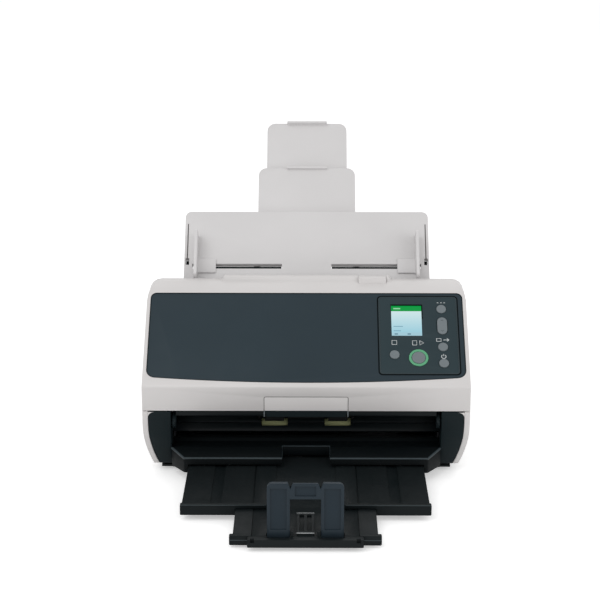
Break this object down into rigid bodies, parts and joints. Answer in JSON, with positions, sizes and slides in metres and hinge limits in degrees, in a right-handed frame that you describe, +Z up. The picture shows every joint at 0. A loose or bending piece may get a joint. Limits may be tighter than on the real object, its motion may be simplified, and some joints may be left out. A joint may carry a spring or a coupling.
{
  "type": "sheet fed document scanner",
  "caption": "Desktop sheet fed document scanner: base, forward-opening cover with screen and keys, rear feed chute, and a pull-out stacker with folding stopper.",
  "frame": {"origin": "on the ground, under the middle of the whole machine's bounding box", "axes": "+X to the machine's right as its user faces it, +Y to its back, +Z up"},
  "size_m": [0.3, 0.4134, 0.2859],
  "materials": {
    "shell": "light warm grey moulded plastic, satin",
    "slate": "dark slate, fine matte",
    "pillar": "near-black matte plastic",
    "tray": "black matte plastic",
    "stopper": "dark grey plastic, satin",
    "guide": "dark grey plastic, satin",
    "roller": "khaki rubber, matte",
    "rubber": "black rubber, matte",
    "steel": "bare steel sheet",
    "glass": "clear polished glass",
    "screen": "pale lit display",
    "button": "mid grey satin",
    "ring": "translucent green",
    "board": "green solder mask",
    "chute": "light grey plastic, satin",
    "nylon": "off-white nylon"
  },
  "bodies": {
    "base": {"left_side_cover": "shell", "right_side_cover": "shell", "left_front_pillar": "pillar", "right_front_pillar": "pillar", "rear_cover": "shell", "bottom_pan": "tray", "front_left_foot": "rubber", "front_right_foot": "rubber", "rear_left_foot": "rubber", "rear_right_foot": "rubber", "chassis": "steel", "lower_guide": "guide", "lower_scan_head": "pillar", "lower_glass": "glass", "feed_motor": "steel", "pick_motor": "steel", "transport_belt": "rubber", "main_board": "board", "dc_inlet": "steel", "data_ports": "steel", "tray_housing": "tray", "chute": "chute"},
    "cover": {"cover_shell": "shell", "face_panel": "slate", "front_cap": "shell", "lower_trim": "tray", "inner_guide": "guide", "left_hinge_arm": "steel", "right_hinge_arm": "steel", "upper_scan_head": "pillar", "upper_glass": "glass", "operator_panel": "slate", "scan_ring": "ring", "screen": "screen", "button_board": "board"},
    "eject_roller": {"eject_roller": "roller"},
    "feed_roller": {"feed_roller": "roller"},
    "pick_roller": {"pick_roller": "rubber", "pick_gear": "nylon"},
    "idler_gear": {"idler_gear": "nylon"},
    "motor_pinion": {"motor_pinion": "nylon"},
    "motor_pulley": {"motor_pulley": "nylon"},
    "eject_idler": {"eject_idler": "rubber"},
    "feed_idler": {"feed_idler": "rubber"},
    "brake_roller": {"brake_roller": "rubber"},
    "release_lever": {"release_lever": "shell"},
    "menu_button": {"menu_button": "button"},
    "manual_feed_button": {"manual_feed_button": "button"},
    "power_button": {"power_button": "button"},
    "stop_button": {"stop_button": "button"},
    "scan_button": {"scan_button": "button"},
    "rocker_button": {"rocker_button": "button"},
    "stacker_plate": {"stacker_plate": "tray"},
    "stacker_extension_1": {"stacker_extension_1": "tray"},
    "stacker_extension_2": {"stacker_extension_2": "tray"},
    "stopper": {"stopper": "stopper"},
    "left_side_guide": {"left_side_guide": "chute"},
    "right_side_guide": {"right_side_guide": "chute"},
    "chute_extension_1": {"chute_extension_1": "chute"},
    "chute_extension_2": {"chute_extension_2": "chute"}
  },
  "joints": [
    {"name": "cover_hinge", "type": "hinge", "parent": "base", "child": "cover", "pos_m": [0, -0.03168, 0.05], "axis": [1, 0, 0], "range_deg": [0, 95]},
    {"name": "stacker_slide", "type": "slide", "parent": "base", "child": "stacker_plate", "axis": [0, 1, 0], "range_m": [0, 0.0825]},
    {"name": "stacker_extension_1_slide", "type": "slide", "parent": "stacker_plate", "child": "stacker_extension_1", "axis": [0, 1, 0], "range_m": [0, 0.05]},
    {"name": "stacker_extension_2_slide", "type": "slide", "parent": "stacker_extension_1", "child": "stacker_extension_2", "axis": [0, 1, 0], "range_m": [-0.03, 0]},
    {"name": "stopper_fold", "type": "hinge", "parent": "stacker_extension_2", "child": "stopper", "pos_m": [0, -0.19689, 0.0129], "axis": [-1, 0, 0], "range_deg": [0, 90]},
    {"name": "eject_roller_spin", "type": "hinge", "parent": "base", "child": "eject_roller", "pos_m": [0, -0.00339, 0.03926], "axis": [1, 0, 0], "continuous": true},
    {"name": "feed_roller_spin", "type": "hinge", "parent": "base", "child": "feed_roller", "pos_m": [0, 0.04324, 0.09542], "axis": [1, 0, 0], "continuous": true},
    {"name": "pick_roller_spin", "type": "hinge", "parent": "base", "child": "pick_roller", "pos_m": [0, 0.06663, 0.1189], "axis": [1, 0, 0], "continuous": true},
    {"name": "idler_gear_spin", "type": "hinge", "parent": "base", "child": "idler_gear", "pos_m": [0, 0.08042, 0.10733], "axis": [1, 0, 0], "continuous": true},
    {"name": "motor_pinion_spin", "type": "hinge", "parent": "base", "child": "motor_pinion", "pos_m": [0, 0.08829, 0.09369], "axis": [1, 0, 0], "continuous": true},
    {"name": "motor_pulley_spin", "type": "hinge", "parent": "base", "child": "motor_pulley", "pos_m": [0, 0.07931, 0.06], "axis": [1, 0, 0], "continuous": true},
    {"name": "eject_idler_spin", "type": "hinge", "parent": "cover", "child": "eject_idler", "pos_m": [0, -0.01285, 0.04711], "axis": [1, 0, 0], "continuous": true},
    {"name": "feed_idler_spin", "type": "hinge", "parent": "cover", "child": "feed_idler", "pos_m": [0, 0.03224, 0.10456], "axis": [1, 0, 0], "continuous": true},
    {"name": "brake_roller_spin", "type": "hinge", "parent": "cover", "child": "brake_roller", "pos_m": [0, 0.05024, 0.1325], "axis": [1, 0, 0], "continuous": true},
    {"name": "left_side_guide_slide", "type": "slide", "parent": "base", "child": "left_side_guide", "axis": [1, 0, 0], "range_m": [-0.003, 0.07]},
    {"name": "right_side_guide_slide", "type": "slide", "parent": "base", "child": "right_side_guide", "axis": [-1, 0, 0], "range_m": [-0.003, 0.07]},
    {"name": "chute_extension_1_slide", "type": "slide", "parent": "base", "child": "chute_extension_1", "axis": [0, -0.6388, -0.7694], "range_m": [0, 0.05]},
    {"name": "chute_extension_2_slide", "type": "slide", "parent": "chute_extension_1", "child": "chute_extension_2", "axis": [0, -0.6388, -0.7694], "range_m": [0, 0.05]},
    {"name": "release_lever_pull", "type": "hinge", "parent": "cover", "child": "release_lever", "pos_m": [0, 0.05282, 0.148], "axis": [-1, 0, 0], "range_deg": [0, 12], "stiffness_Nm_per_rad": 0.05, "springref_deg": -11.46},
    {"name": "menu_button_press", "type": "slide", "parent": "cover", "child": "menu_button", "axis": [0, 0.6428, -0.766], "range_m": [0, 0.0008], "stiffness_N_per_m": 300},
    {"name": "manual_feed_button_press", "type": "slide", "parent": "cover", "child": "manual_feed_button", "axis": [0, 0.6428, -0.766], "range_m": [0, 0.0008], "stiffness_N_per_m": 300},
    {"name": "power_button_press", "type": "slide", "parent": "cover", "child": "power_button", "axis": [0, 0.6428, -0.766], "range_m": [0, 0.0008], "stiffness_N_per_m": 300},
    {"name": "stop_button_press", "type": "slide", "parent": "cover", "child": "stop_button", "axis": [0, 0.6428, -0.766], "range_m": [0, 0.0008], "stiffness_N_per_m": 300},
    {"name": "scan_button_press", "type": "slide", "parent": "cover", "child": "scan_button", "axis": [0, 0.6428, -0.766], "range_m": [0, 0.0008], "stiffness_N_per_m": 300},
    {"name": "rocker_button_tilt", "type": "hinge", "parent": "cover", "child": "rocker_button", "pos_m": [0.1265, 0.01344, 0.12642], "axis": [1, 0, 0], "range_deg": [-3, 3], "stiffness_Nm_per_rad": 0.05}
  ],
  "couplings": [
    {"joint": "eject_roller_spin", "follows": "feed_roller_spin", "ratio": 1},
    {"joint": "motor_pulley_spin", "follows": "feed_roller_spin", "ratio": 1.4},
    {"joint": "idler_gear_spin", "follows": "pick_roller_spin", "ratio": -0.6},
    {"joint": "motor_pinion_spin", "follows": "pick_roller_spin", "ratio": 1.5}
  ]
}
